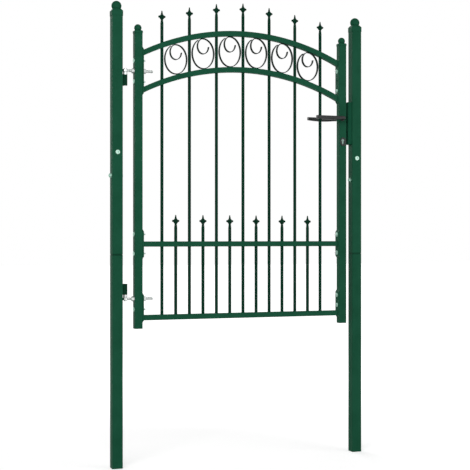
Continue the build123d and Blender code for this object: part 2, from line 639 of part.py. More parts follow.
def front_lever():
    """Lever on the front face: boss, neck, bend, and a grip towards the hinges."""
    start = STILE_FRONT + SLIDING_GAP
    boss = Rot(90, 0, 0) * Cylinder(LEVER_BOSS_DIAMETER / 2, LEVER_BOSS_LENGTH, align=ON_FLOOR)
    boss = Pos(0, -start, 0) * boss
    path = [
        Line((0, -start), (0, LEVER_BEND - LEVER_STAND_OFF)),
        JernArc((0, LEVER_BEND - LEVER_STAND_OFF), (0, -1), LEVER_BEND, -90),
    ]
    neck_section = RectangleRounded(LEVER_DEPTH, LEVER_NECK_SECTION, LEVER_CORNER)
    neck = sweep(Plane((0, -start, 0), x_dir=(1, 0, 0), z_dir=(0, -1, 0)) * neck_section, Curve() + path)
    grip_middle = (LEVER_BEND + LEVER_REACH) / 2
    grip = loft([
        lever_section(LEVER_NECK_SECTION, LEVER_BEND).face(),
        lever_section(LEVER_BELLY_SECTION, grip_middle).face(),
        lever_section(LEVER_TIP_SECTION, LEVER_REACH).face(),
    ])
    socket_side = SPINDLE_SIDE + 2 * THREAD_GAP
    socket_end = LEVER_STAND_OFF - LEVER_DEPTH + THREAD_GAP
    socket = Box(socket_side, 2 * socket_end, socket_side)
    return Pos(LOCK_AXIS, 0, LEVER_HEIGHT) * (boss + neck + grip - socket)


def lock_keeper():
    """Keeper box on the lock post, with a slot for the latch and one for the bolt."""
    face = RIGHT_STILE_FACE + KEEPER_GAP
    depth = LOCK_POST_FACE - face
    height = KEEPER_TOP - KEEPER_FOOT
    box = Box(depth, KEEPER_WIDTH, height)
    hollow = Box(depth - KEEPER_WALL, KEEPER_WIDTH - 2 * KEEPER_WALL, height - 2 * KEEPER_WALL)
    box = box - Pos(KEEPER_WALL / 2, 0, 0) * hollow
    box = Pos(face + depth / 2, 0, (KEEPER_TOP + KEEPER_FOOT) / 2) * box
    latch = Box(2 * KEEPER_WALL, KEEPER_SLOT_WIDTH, LATCH_SLOT_HEIGHT)
    bolt = Box(2 * KEEPER_WALL, KEEPER_SLOT_WIDTH, BOLT_SLOT_HEIGHT)
    box = box - Pos(face, 0, LEVER_HEIGHT) * latch
    return box - Pos(face, 0, CYLINDER_HEIGHT + BOLT_SLOT_HEIGHT / 2) * bolt


def write(name, shape):
    """Writes one named sub-part, made of one solid or of several that don't touch."""
    pieces = shape if isinstance(shape, list) else [shape]
    solids = [solid for piece in pieces for solid in piece.solids()]
    export_step(Compound(children=solids) if len(solids) > 1 else solids[0], f"parts/{name}.step")


os.makedirs("parts", exist_ok=True)

seam_foot = POST_SEAM_HEIGHT - POST_SEAM_GAP / 2
seam_top = POST_SEAM_HEIGHT + POST_SEAM_GAP / 2
post_middles = (0, LOCK_POST_MIDDLE)
post_cap = (POST_SIDE, POST_CORNER, POST_HEIGHT, POST_CAP_SKIRT, POST_CAP_ROOF, POST_BALL_DIAMETER)
for name, x in (("hinge_post", 0), ("lock_post", LOCK_POST_MIDDLE)):
    write(f"{name}_lower", post_section(x, 0, seam_foot))
    write(f"{name}_upper", drill_for_bolts(post_section(x, seam_top, POST_HEIGHT), x))
    write(f"{name}_cap", ball_cap(x, *post_cap))
write("post_sleeves", [post_sleeve(x) for x in post_middles])
write("post_foot_plugs", [foot_plug(x, 0, POST_SIDE, POST_WALL) for x in post_middles])
write("post_front_bolts", [front_bolt(x) for x in post_middles])
write("post_side_bolts", [side_bolt(x) for x in post_middles])

upper_block = block_middle_for(UPPER_EYE_HEIGHT, 1)
lower_block = block_middle_for(LOWER_EYE_HEIGHT, -1)
write("upper_hinge_block", hinge_block(upper_block))
write("lower_hinge_block", hinge_block(lower_block))
write("upper_hinge_pin", hinge_pin(upper_block, UPPER_EYE_HEIGHT))
write("lower_hinge_pin", hinge_pin(lower_block, LOWER_EYE_HEIGHT))
write("lock_keeper", lock_keeper())

stile_middles = (LEFT_STILE_MIDDLE, RIGHT_STILE_MIDDLE)
stile_cap = (STILE_SIDE, STILE_CORNER, STILE_TOP, STILE_CAP_SKIRT, STILE_CAP_ROOF, STILE_BALL_DIAMETER)
write("left_stile", left_stile())
write("right_stile", right_stile())
write("left_stile_cap", ball_cap(LEFT_STILE_MIDDLE, *stile_cap))
write("right_stile_cap", ball_cap(RIGHT_STILE_MIDDLE, *stile_cap))
write("stile_foot_plugs", [foot_plug(x, STILE_FOOT, STILE_SIDE, STILE_WALL) for x in stile_middles])

write("left_upper_plate", drilled_plate(UPPER_PLATE, LEFT_STILE_MIDDLE, 1, UPPER_EYE_HEIGHT))
write("left_middle_plate", rail_plate(MIDDLE_PLATE, LEFT_STILE_MIDDLE, 1))
write("left_lower_plate", drilled_plate(LOWER_PLATE, LEFT_STILE_MIDDLE, 1, LOWER_EYE_HEIGHT))
write("right_upper_plate", drilled_plate(UPPER_PLATE, RIGHT_STILE_MIDDLE, -1, UPPER_EYE_HEIGHT))
write("right_middle_plate", rail_plate(MIDDLE_PLATE, RIGHT_STILE_MIDDLE, -1))
write("right_lower_plate", rail_plate(LOWER_PLATE, RIGHT_STILE_MIDDLE, -1))

write("upper_arch_rail", arch_rail(UPPER_ARCH_TOP))
write("lower_arch_rail", arch_rail(LOWER_ARCH_TOP))
write("middle_rail", middle_rail())
write("bottom_rail", bottom_rail())
write("long_bars", [round_bar(x, long_spear_height(x)) for x in long_bar_places()])
write("short_bars", [round_bar(x, SHORT_SPEAR_HEIGHT) for x in bay_places()])
point = spear_point()
write("long_bar_spears", [Pos(x, 0, long_spear_height(x)) * point for x in long_bar_places()])
write("short_bar_spears", [Pos(x, 0, SHORT_SPEAR_HEIGHT) * point for x in bay_places()])
write("scroll_rings", [scroll_ring(x) for x in bay_places()])

write("upper_eye_bolt", eye_bolt(UPPER_EYE_HEIGHT))
write("lower_eye_bolt", eye_bolt(LOWER_EYE_HEIGHT))
write("eye_bolt_nuts", hinge_nuts(UPPER_EYE_HEIGHT) + hinge_nuts(LOWER_EYE_HEIGHT))

write("lock_case", lock_case())
write("lock_cylinder", lock_cylinder())
write("lever_roses", [lever_rose(side) for side in (-1, 1)])
write("cylinder_escutcheons", [escutcheon(side) for side in (-1, 1)])
write("lever_spindle", lever_spindle())
lever = front_lever()
write("front_lever", lever)
write("back_lever", mirror(lever, Plane.XZ))
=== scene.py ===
# %% [markdown]
# # A garden gate of painted steel, between its two posts
#
# This lesson dresses a gate whose steelwork is already drawn at its real size. The tubes, bars, hinges and
# lock come in as a fixed frame, and every cell after that adds what a plain solid lacks: paint, zinc, bolts,
# threads, welds, a studio and a camera. All lengths are in metres and Z points up.

# %% Load the steelwork
import json
import math

import bpy
from mathutils import Matrix, Vector


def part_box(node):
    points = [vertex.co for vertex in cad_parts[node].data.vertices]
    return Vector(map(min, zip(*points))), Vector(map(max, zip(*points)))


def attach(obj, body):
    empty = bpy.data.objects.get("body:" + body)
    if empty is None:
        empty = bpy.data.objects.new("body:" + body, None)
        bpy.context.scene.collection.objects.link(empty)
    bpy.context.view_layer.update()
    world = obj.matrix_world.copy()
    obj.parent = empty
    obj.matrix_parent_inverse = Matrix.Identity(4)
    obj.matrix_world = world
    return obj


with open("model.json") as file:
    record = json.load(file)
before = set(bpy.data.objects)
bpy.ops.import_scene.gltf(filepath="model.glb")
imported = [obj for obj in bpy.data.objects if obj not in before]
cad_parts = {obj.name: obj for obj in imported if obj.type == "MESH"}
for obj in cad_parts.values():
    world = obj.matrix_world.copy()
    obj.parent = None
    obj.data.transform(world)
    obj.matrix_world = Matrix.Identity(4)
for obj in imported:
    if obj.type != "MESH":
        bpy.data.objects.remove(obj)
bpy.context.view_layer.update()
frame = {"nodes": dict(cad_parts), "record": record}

bpy.ops.object.select_all(action="DESELECT")
print("steelwork pieces:", len(frame["nodes"]))


# %% [markdown]
# ## A small vocabulary for node trees
#
# Finishes and studio are both node trees. Written out by hand, each node takes a line to make it, one for
# every socket that is set and one for every link, and what differs between two finishes drowns in that. So
# one small class does the wiring: a socket is given a value or another socket, and the class knows which.

# %% Wiring of nodes
class Wiring:
    """A node tree under construction: adds nodes and fills their sockets by name."""

    def __init__(self, tree):
        self.tree = tree

    def connect(self, socket, value):
        """Links a socket to another one, or sets its value."""
        if isinstance(value, bpy.types.NodeSocket):
            self.tree.links.new(value, socket)
        else:
            socket.default_value = value

    def fill(self, node, inputs):
        """Fills sockets of a node; an underscore in a name stands for a space."""
        for name, value in inputs.items():
            self.connect(node.inputs[name.replace("_", " ")], value)

    def add(self, kind, **inputs):
        """A node of one kind with its sockets filled."""
        node = self.tree.nodes.new(kind)
        self.fill(node, inputs)
        return node

    def reckon(self, operation, *values):
        """Result of a Math node, whose sockets have no names of their own and go by their order."""
        node = self.tree.nodes.new("ShaderNodeMath")
        node.operation = operation
        for socket, value in zip(node.inputs, values):
            self.connect(socket, value)
        return node.outputs[0]


# %% [markdown]
# ## A small vocabulary for finishes
#
# Every finish on the gate is a short chain: a Principled shader, a few noises that read Object coordinates,
# and a bump. Object coordinates are metres here, so a noise scale of 400 means grains of about 2.5 mm
# wherever the piece stands. Painted shade at a seam is a dark line at one height, so it compares Z with that
# height.

# %% Materials under construction
BLEND_STOPS = (0.3, 0.7)


class Finish(Wiring):
    """A material with a Principled shader and patterns in the object's own metres."""

    def __init__(self, name):
        self.material = bpy.data.materials.new(name)
        self.material.use_nodes = True
        super().__init__(self.material.node_tree)
        self.shader = self.tree.nodes["Principled BSDF"]
        self.place = self.add("ShaderNodeTexCoord").outputs["Object"]

    def set(self, **inputs):
        """Sockets of the shader itself, as values or links."""
        self.fill(self.shader, inputs)

    def noise(self, scale, detail=2.0):
        """Cloudy noise from 0 to 1."""
        return self.add("ShaderNodeTexNoise", Vector=self.place, Scale=scale, Detail=detail).outputs["Fac"]

    def spread(self, factor, low, high):
        """A number that runs from low to high with a factor."""
        return self.add("ShaderNodeMapRange", Value=factor, To_Min=low, To_Max=high).outputs["Result"]

    def between(self, factor, low, high):
        """Two colours blended by a factor, with most of the blend in its middle."""
        ramp = self.add("ShaderNodeValToRGB", Fac=factor)
        for stop, colour, position in zip(ramp.color_ramp.elements, (low, high), BLEND_STOPS):
            stop.color = (*colour, 1)
            stop.position = position
        return ramp.outputs["Color"]

    def shade_near(self, colour, height, reach=0.0035, depth=0.35):
        """A colour darkened within a short reach of a height: painted shade, such as falls in a narrow joint.
        """
        up = self.add("ShaderNodeSeparateXYZ", Vector=self.place).outputs["Z"]
        kept = self.spread(self.reckon("COMPARE", up, height, reach), 1.0, 1.0 - depth)
        shaded = self.add("ShaderNodeVectorMath")
        shaded.operation = "SCALE"
        self.fill(shaded, {"Vector": colour, "Scale": kept})
        return shaded.outputs["Vector"]

    def bump(self, height, depth):
        """Surface relief of a real depth in metres."""
        self.set(Normal=self.add("ShaderNodeBump", Height=height, Distance=depth).outputs["Normal"])


def srgb(red, green, blue):
    """A screen colour from 0 to 255 as the linear colour that a shader takes."""
    def linear(value):
        value = value / 255
        return value / 12.92 if value <= 0.04045 else ((value + 0.055) / 1.055) ** 2.4
    return linear(red), linear(green), linear(blue)


# %% [markdown]
# ## Green powder coat
#
# The gate is sprayed with powder and baked. The melt levels out into a skin with a fine orange peel, a
# little deeper in tone where it lies thick. A flat green would look like plastic, so the colour drifts
# slightly over a hand's width under a fine speckle, and the roughness and the relief follow two noises of
# their own. The gloss is low, because this coat stays deep green even where it is seen along the surface.
#
# The thin stock is the same coat as the tubes, but it reads darker in a picture. Bars, spear points, hinge
# blocks and, most of all, the scroll rings therefore have darker tones, which are painted shade. The keeper
# stands in a narrow gap and has no gloss at all, with a slightly darker tone that is painted shade, and the
# posts have a line of painted shade at the seam between their two sections of tube.

# %% Green powder coat
TUBE_GREEN = (srgb(23, 75, 53), srgb(30, 85, 62))
# Bar and ring tones are darker copies of the tube green: painted shade, for the shade that thin stock takes.
BAR_SHADED_GREEN = (srgb(9, 46, 31), srgb(15, 55, 39))
RING_SHADED_GREEN = (srgb(7, 26, 19), srgb(11, 33, 25))
# The keeper's slightly darker tone is painted shade for the narrow gap it stands in; it also has no gloss.
KEEPER_SHADED_GREEN = (srgb(22, 73, 52), srgb(28, 82, 60))
PAINT_GLOSS = 0.02
PAINT_ROUGHNESS = (0.40, 0.56)
CLOUD_SCALE = 14.0
CLOUD_RANGE = (0.1, 0.9)
SPECKLE_SCALE = 700.0
SPECKLE_SHARE = 0.18
SHEEN_SCALE = 60.0
PEEL_SCALE = 420.0
PEEL_DEPTH = 0.00008


def green_paint(name, tones, gloss=PAINT_GLOSS, seam=None):
    """Powder coat between two tones; a seam is the height where two tube sections meet, darkened there with
    painted shade.
    """
    paint = Finish(name)
    cloud = paint.spread(paint.noise(CLOUD_SCALE, detail=3.0), *CLOUD_RANGE)
    speckle = paint.noise(SPECKLE_SCALE, detail=1.0)
    tone = paint.reckon("MULTIPLY_ADD", speckle, SPECKLE_SHARE, cloud)
    colour = paint.between(tone, *tones)
    if seam is not None:
        colour = paint.shade_near(colour, seam)
    roughness = paint.spread(paint.noise(SHEEN_SCALE), *PAINT_ROUGHNESS)
    paint.set(Base_Color=colour, Roughness=roughness, Specular_IOR_Level=gloss)
    paint.bump(paint.noise(PEEL_SCALE, detail=1.0), PEEL_DEPTH)
    return paint.material


tube_paint = green_paint("green_paint", TUBE_GREEN)
# The posts carry a line of painted shade at the seam between their two tube sections.
post_seam_shaded_paint = green_paint("post_seam_shaded_paint", TUBE_GREEN, seam=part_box("hinge_post_lower")[1].z)
bar_shaded_paint = green_paint("bar_shaded_paint", BAR_SHADED_GREEN)
ring_shaded_paint = green_paint("ring_shaded_paint", RING_SHADED_GREEN)
keeper_shaded_paint = green_paint("gap_shaded_paint", KEEPER_SHADED_GREEN, gloss=0.0)
print("paints:", *(paint.name for paint in (tube_paint, post_seam_shaded_paint, bar_shaded_paint, ring_shaded_paint, keeper_shaded_paint)))


# %% [markdown]
# ## Zinc, nickel and lock steel
#
# Eye bolts, pins and nuts are bright zinc: a metal with a faint frosted cloudiness. The bolts through the
# posts and plates have a dull passivated zinc that leans to green. The lock cylinder is dark nickel, and the
# lock's own face is plain plated steel. All four are the same chain with other numbers, so one function
# makes them. The grain is a noise scale: roughness and relief follow finer noises that go with it.

# %% Bright metals
FROST_DEPTH = 0.00002
SHEEN_TO_GRAIN = 3
FROST_TO_GRAIN = 4


def metal(name, tones, roughness, grain):
    """Plated metal between two tones and two roughnesses."""
    plate = Finish(name)
    plate.set(
        Base_Color=plate.between(plate.noise(grain), *tones),
        Roughness=plate.spread(plate.noise(SHEEN_TO_GRAIN * grain), *roughness),
        Metallic=1.0,
    )
    plate.bump(plate.noise(FROST_TO_GRAIN * grain, detail=1.0), FROST_DEPTH)
    return plate.material


ZINC_GREY = (srgb(172, 176, 175), srgb(214, 218, 216))
ZINC_MINT = (srgb(150, 183, 169), srgb(188, 217, 204))
NICKEL_GREY = (srgb(92, 108, 102), srgb(122, 140, 133))
STEEL_GREY = (srgb(150, 154, 156), srgb(176, 180, 180))
zinc = metal("zinc", ZINC_GREY, roughness=(0.30, 0.44), grain=160.0)
passivated = metal("passivated_zinc", ZINC_MINT, roughness=(0.54, 0.66), grain=200.0)
nickel = metal("nickel", NICKEL_GREY, roughness=(0.30, 0.42), grain=220.0)
lock_steel = metal("lock_steel", STEEL_GREY, roughness=(0.30, 0.45), grain=180.0)
print("metals:", *(finish.name for finish in (zinc, passivated, nickel, lock_steel)))


# %% [markdown]
# ## Black levers and black plastic
#
# The levers are coated nearly black with a soft sheen, and the roses, the escutcheons and the tube plugs are
# moulded in matt plastic. Both catch light on a very fine grain, which is a noise scale again.

# %% Black finishes
BLACK_GLOSS = 0.25
BLACK_CLOUD_SCALE = 40.0
SMOOTHER = 0.05
ROUGHER = 0.07
GRAIN_DEPTH = 0.00004


def black(name, tones, rough, grain):
    """Nearly black skin whose roughness varies about a value."""
    skin = Finish(name)
    skin.set(
        Base_Color=skin.between(skin.noise(BLACK_CLOUD_SCALE), *tones),
        Roughness=skin.spread(skin.noise(grain), rough - SMOOTHER, rough + ROUGHER),
        Specular_IOR_Level=BLACK_GLOSS,
    )
    skin.bump(skin.noise(grain, detail=1.0), GRAIN_DEPTH)
    return skin.material


LEVER_BLACK = (srgb(27, 29, 29), srgb(36, 38, 38))
PLASTIC_BLACK = (srgb(32, 38, 36), srgb(42, 48, 46))
black_lever = black("black_lever", LEVER_BLACK, rough=0.36, grain=500.0)
black_plastic = black("black_plastic", PLASTIC_BLACK, rough=0.5, grain=700.0)
print("blacks:", black_lever.name, black_plastic.name)


# %% [markdown]
# ## Coating the steelwork
#
# The drawing names a material slot for every piece, and most pieces simply take the finish of that name. The
# few that differ within their slot are listed.

# %% Coat the steelwork
finishes = {
    "green_paint": tube_paint, "zinc": zinc, "nickel": nickel, "lock_steel": lock_steel,
    "black_lever": black_lever, "black_plastic": black_plastic,
}
special = {
    "post_front_bolts": passivated, "post_side_bolts": passivated,
    # The posts take the paint with painted shade at their seam.
    "hinge_post_lower": post_seam_shaded_paint, "hinge_post_upper": post_seam_shaded_paint,
    "lock_post_lower": post_seam_shaded_paint, "lock_post_upper": post_seam_shaded_paint,
    # Bars, spears, hinge blocks and scroll rings take darker paints whose tone is painted shade.
    "long_bars": bar_shaded_paint, "short_bars": bar_shaded_paint,
    "long_bar_spears": bar_shaded_paint, "short_bar_spears": bar_shaded_paint,
    "upper_hinge_block": bar_shaded_paint, "lower_hinge_block": bar_shaded_paint,
    # The keeper takes a slightly darker paint whose tone is painted shade for its narrow gap.
    "scroll_rings": ring_shaded_paint, "lock_keeper": keeper_shaded_paint,
}
slot_of = {part["node"]: part["material_slot"] for part in frame["record"]["subparts"]}
for node, piece in frame["nodes"].items():
    piece.data.materials.clear()
    piece.data.materials.append(special.get(node, finishes[slot_of[node]]))
print("coated pieces:", len(slot_of), "of them special:", len(special))


# %% [markdown]
# ## Hands for modelling
#
# The small parts are shaped as by hand: a primitive is added, faces are picked by where they look, and edit
# mode operators do the rest. An operator works on all that is selected, so a new piece always starts alone
# in the selection.

# %% Start a piece, pick its faces, apply a modifier
NEARLY_ONE = 0.9


def fresh(add, name, **shape):
    """One new primitive, alone in the selection."""
    bpy.ops.object.select_all(action="DESELECT")
    add(**shape)
    piece = bpy.context.object
    piece.name = name
    bpy.ops.object.transform_apply(location=True, rotation=True, scale=True)
    return piece


def select_only(pieces):
    """Object mode selection of these pieces, with the first one active."""
    bpy.ops.object.select_all(action="DESELECT")
    for piece in pieces:
        piece.select_set(True)
    bpy.context.view_layer.objects.active = pieces[0]


def pick_faces(piece, wanted):
    """Edit mode with only the faces selected that pass a test."""
    bpy.ops.object.mode_set(mode="EDIT")
    bpy.ops.mesh.select_mode(type="FACE")
    bpy.ops.mesh.select_all(action="DESELECT")
    bpy.ops.object.mode_set(mode="OBJECT")
    for face in piece.data.polygons:
        face.select = wanted(face)
    bpy.ops.object.mode_set(mode="EDIT")


def looks_up(face):
    """Whether a face looks up, give or take the rounding of its normal."""
    return face.normal.z > NEARLY_ONE


def apply_modifier(piece, kind, **settings):
    """Adds a modifier, sets it and applies it."""
    modifier = piece.modifiers.new(kind.lower(), kind)
    for name, value in settings.items():
        setattr(modifier, name, value)
    select_only([piece])
    bpy.ops.object.modifier_apply(modifier=modifier.name)


# %% [markdown]
# ## From the bench to the gate
#
# Each model stands at the origin along +Z, like a part on a bench. Copies of it, each with its own mesh, are
# turned, carried to their places and joined into one piece, whose object stays at the origin so that the
# finishes lie still on it. A finished piece is then shaded, coated, and set to ride on a body of the frame.

# %% Carry copies, join them, fit the piece
SMOOTH_ANGLE = 35
WELD_SMOOTH_ANGLE = 60


def facing(place, direction):
    """Matrix that carries a model on the bench to a place, with its +Z in a direction."""
    return Matrix.Translation(place) @ Vector(direction).to_track_quat("Z", "Y").to_matrix().to_4x4()


def copies(model, places):
    """Copies of a model on the bench, each with its own mesh; the model itself is put away."""
    made = []
    for place in places:
        twin = model.copy()
        twin.data = model.data.copy()
        bpy.context.collection.objects.link(twin)
        twin.matrix_world = place
        made.append(twin)
    bpy.data.objects.remove(model)
    return made


def join(pieces, name):
    """Several meshes joined into one named piece at the origin."""
    select_only(pieces)
    if len(pieces) > 1:
        bpy.ops.object.join()
    bpy.ops.object.transform_apply(location=True, rotation=True, scale=True)
    whole = bpy.context.object
    whole.name = name
    whole.data.name = name
    return whole


def fit(piece, body, material, smooth_angle=SMOOTH_ANGLE):
    """Shades a finished piece, gives it its finish and lets it ride on a body."""
    select_only([piece])
    bpy.ops.object.shade_smooth_by_angle(angle=math.radians(smooth_angle))
    piece.data.materials.clear()
    piece.data.materials.append(material)
    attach(piece, body)
    print(piece.name, len(piece.data.polygons), "faces")


# %% [markdown]
# ## Threads
#
# A thread is one ridge wound round the shank. Modelling each turn as a ring would leave them unconnected, and
# a bump would vanish at the outline, so a small triangle is wound by a Screw modifier instead: the triangle
# points outwards, and every turn climbs by one pitch.

# %% A thread ridge
RIDGE_SHARE = 0.42
TURN_STEPS = 20
QUARTER_TURN = math.pi / 2


def thread(diameter, length, pitch):
    """Thread ridge on a shank of a diameter, from the origin up to a length."""
    ridge = fresh(bpy.ops.mesh.primitive_circle_add, "thread", vertices=3, radius=RIDGE_SHARE * pitch,
                  location=(diameter / 2, 0, pitch / 2), rotation=(QUARTER_TURN, QUARTER_TURN, 0))
    turns = int(length / pitch) - 1
    apply_modifier(ridge, "SCREW", screw_offset=pitch, iterations=turns, steps=TURN_STEPS,
                   render_steps=TURN_STEPS)
    bpy.ops.object.mode_set(mode="EDIT")
    bpy.ops.mesh.select_all(action="SELECT")
    bpy.ops.mesh.fill_holes(sides=4)
    bpy.ops.mesh.normals_make_consistent(inside=False)
    bpy.ops.object.mode_set(mode="OBJECT")
    return ridge


# %% [markdown]
# ## Threads on the hinges
#
# Both eye bolts are threaded from the eye to their free end, so that the gap to the post can be set with two
# nuts. The ridge shows in front of the stile and behind its plate. The two places are read from the boxes of
# the eye bolt, the stile and the plate.

# %% Eye bolt threads
EYE_PITCH = 0.0015
EYE_DIAMETER = 0.022
NUT_AND_WASHER = 0.010
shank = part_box("upper_eye_bolt")[1].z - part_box("upper_eye_bolt")[0].z
outer_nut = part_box("left_stile")[0].x - NUT_AND_WASHER
inner_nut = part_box("left_upper_plate")[1].x + NUT_AND_WASHER
ridges = []
for eye in ("upper_eye_bolt", "lower_eye_bolt"):
    low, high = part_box(eye)
    height = (low.z + high.z) / 2
    for start, end in ((low.x + EYE_DIAMETER, outer_nut), (inner_nut, high.x)):
        ridge = thread(shank, end - start, EYE_PITCH)
        ridges += copies(ridge, [facing((start, 0, height), (1, 0, 0))])
fit(join(ridges, "eye_bolt_threads"), "leaf", zinc)


# %% [markdown]
# ## Discs, hexagons and cuts
#
# Washers, heads and nuts start from two shapes. A disc gets its upper edge rounded, because every turned or
# pressed part has that edge, and a hexagon is measured across its flats, as a spanner is. What can't be
# extruded, such as a socket in a round face, is cut with a Boolean.

# %% Shapes for bolts and screws
DISC_SIDES = 40
ROUNDING_STEPS = 3


def disc(radius, height, foot, rounding, sides=DISC_SIDES):
    """Round disc with a rounded top edge, standing at a height."""
    piece = fresh(bpy.ops.mesh.primitive_cylinder_add, "disc", vertices=sides, radius=radius, depth=height,
                  location=(0, 0, foot + height / 2))
    pick_faces(piece, looks_up)
    bpy.ops.mesh.bevel(offset=rounding, segments=ROUNDING_STEPS)
    bpy.ops.object.mode_set(mode="OBJECT")
    return piece


def corner_radius(flats):
    """Radius to the corners of a hexagon of a width across its flats."""
    return flats / math.sqrt(3)


def hexagon(flats, height, foot):
    """Hexagonal prism, standing at a height."""
    return fresh(bpy.ops.mesh.primitive_cylinder_add, "hexagon", vertices=6, radius=corner_radius(flats),
                 depth=height, location=(0, 0, foot + height / 2))


def cut(piece, operation, tool):
    """Boolean of a piece with a tool, which is then put away."""
    apply_modifier(piece, "BOOLEAN", operation=operation, object=tool)
    bpy.data.objects.remove(tool)
    return piece


# %% [markdown]
# ## Bolts through stiles and plates
#
# Each rail plate is bolted through its stile: a low round head with a hexagon socket on the outside, and on
# the plate a washer, a thin nut and the end of the thread. A nut has its corners turned off at the top, and
# that is just what its overlap with a rounded disc leaves.

# %% Heads, nuts and thread ends
HEAD_DIAMETER = 0.0165
HEAD_HEIGHT = 0.0026
HEAD_EDGE = 0.0011
SOCKET_FLATS = 0.005
SOCKET_DEPTH = 0.0016
WASHER_DIAMETER = 0.0165
WASHER_HEIGHT = 0.0012
WASHER_EDGE = WASHER_HEIGHT / 4
NUT_FLATS = 0.010
NUT_HEIGHT = 0.0030
BOLT_DIAMETER = 0.006
BOLT_PITCH = 0.001
BOLT_END = 0.0095
BOLT_SIDES = 24


def socket_head():
    """Low head with a hexagon socket, on the bench."""
    head = disc(HEAD_DIAMETER / 2, HEAD_HEIGHT, 0, HEAD_EDGE)
    return cut(head, "DIFFERENCE", hexagon(SOCKET_FLATS, 2 * SOCKET_DEPTH, HEAD_HEIGHT - SOCKET_DEPTH))


def washer_and_nut():
    """Washer and thin nut with turned corners, on the bench."""
    washer = disc(WASHER_DIAMETER / 2, WASHER_HEIGHT, 0, WASHER_EDGE)
    corner = corner_radius(NUT_FLATS)
    turned = disc(corner, NUT_HEIGHT, WASHER_HEIGHT, corner - NUT_FLATS / 2)
    nut = cut(hexagon(NUT_FLATS, NUT_HEIGHT, WASHER_HEIGHT), "INTERSECT", turned)
    return join([washer, nut], "washer_and_nut")


def bolt_end():
    """End of a bolt past its nut, with its thread, on the bench."""
    inner = BOLT_DIAMETER / 2 - RIDGE_SHARE * BOLT_PITCH
    foot = WASHER_HEIGHT + NUT_HEIGHT
    core = disc(inner, BOLT_END, 0, BOLT_PITCH / 2, BOLT_SIDES)
    ridge = thread(2 * inner, BOLT_END - foot, BOLT_PITCH)
    return join([core] + copies(ridge, [Matrix.Translation((0, 0, foot))]), "bolt_end")


# %% [markdown]
# ## Where the bolts sit
#
# The upper plates carry two bolts, one near each rail, and so do the middle plates. On the hinge side the
# lower plate needs one only, because the lower eye bolt is its second. The distances are taken from the
# middle of each plate. Heads, nuts and thread ends are three pieces, because their zinc differs: heads and
# nuts are passivated and lean to green, the thread ends are cut bright.

# %% Plate bolts
UPPER_BOLTS = (0.0395, -0.0395)
MIDDLE_BOLTS = (0.037, -0.036)
LOWER_BOLTS = (0.034, -0.006)


def plate_bolts(side, spacing, outward):
    """Bolts of one stile: heads on its outer face, nuts on its plates."""
    stile_low, stile_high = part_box(f"{side}_stile")
    heads, nuts = [], []
    for plate, steps in spacing.items():
        low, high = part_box(f"{side}_{plate}_plate")
        outer = stile_low.x if outward < 0 else stile_high.x
        inner = high.x if outward < 0 else low.x
        for step in steps:
            height = (low.z + high.z) / 2 + step
            heads.append(facing((outer, 0, height), (outward, 0, 0)))
            nuts.append(facing((inner, 0, height), (-outward, 0, 0)))
    fit(join(copies(socket_head(), heads), f"{side}_plate_heads"), "leaf", passivated)
    fit(join(copies(washer_and_nut(), nuts), f"{side}_plate_nuts"), "leaf", passivated)
    fit(join(copies(bolt_end(), nuts), f"{side}_plate_bolt_ends"), "leaf", zinc)


plate_bolts("left", {"upper": UPPER_BOLTS, "middle": MIDDLE_BOLTS, "lower": LOWER_BOLTS[1:]}, -1)
plate_bolts("right", {"upper": UPPER_BOLTS, "middle": MIDDLE_BOLTS, "lower": LOWER_BOLTS}, 1)


# %% [markdown]
# ## Weld beads
#
# The gate is welded, then coated, so every joint keeps a small painted bead. Along an edge a weld is a chain
# of overlapping drops: a short prism is extruded step by step, wide and narrow in turn. Round a bar it is a
# ring, made from a torus that is pressed flat and roughened a little with a fixed seed.

# %% Two kinds of weld
DROP_SHARE = 1.1
NARROW = 0.8
END_SHARE = 0.6
BEAD_SIDES = 8
RING_STEPS = 28
RING_FLATTENING = 0.7
RING_UNEVENNESS = 0.15
RING_SEED = 5


def weld_bead(length, radius):
    """Chain of weld drops along +Z, centred on the origin."""
    drops = max(2, round(length / (DROP_SHARE * radius)))
    step = length / (2 * drops)
    bead = fresh(bpy.ops.mesh.primitive_cylinder_add, "weld_bead", vertices=BEAD_SIDES,
                 radius=END_SHARE * radius, depth=step, location=(0, 0, (step - length) / 2))
    pick_faces(bead, looks_up)
    width = END_SHARE
    for ring in range(1, 2 * drops):
        wanted = 1 if ring % 2 else NARROW
        if ring == 2 * drops - 1:
            wanted = END_SHARE
        bpy.ops.mesh.extrude_region_move(TRANSFORM_OT_translate={"value": (0, 0, step)})
        bpy.ops.transform.resize(value=(wanted / width, wanted / width, 1))
        width = wanted
    bpy.ops.object.mode_set(mode="OBJECT")
    return bead


def weld_ring(bar_radius, radius):
    """Flat weld ring round a bar that stands on the origin."""
    ring = fresh(bpy.ops.mesh.primitive_torus_add, "weld_ring", major_radius=bar_radius, minor_radius=radius,
                 major_segments=RING_STEPS, minor_segments=BEAD_SIDES)
    bpy.ops.object.mode_set(mode="EDIT")
    bpy.ops.mesh.select_all(action="SELECT")
    bpy.ops.transform.resize(value=(1, 1, RING_FLATTENING))
    bpy.ops.transform.vertex_random(offset=RING_UNEVENNESS * radius, uniform=1, normal=0, seed=RING_SEED)
    bpy.ops.object.mode_set(mode="OBJECT")
    return ring


# %% [markdown]
# ## The arches
#
# Both top rails are tubes bent to the same radius, and all that meets them needs their height at a place
# along the leaf. It follows from the circle: its top is the top of the rail's box, and its middle is the
# middle of the leaf. The tube's lower wall is a circle about the same centre, smaller by the tube's width.

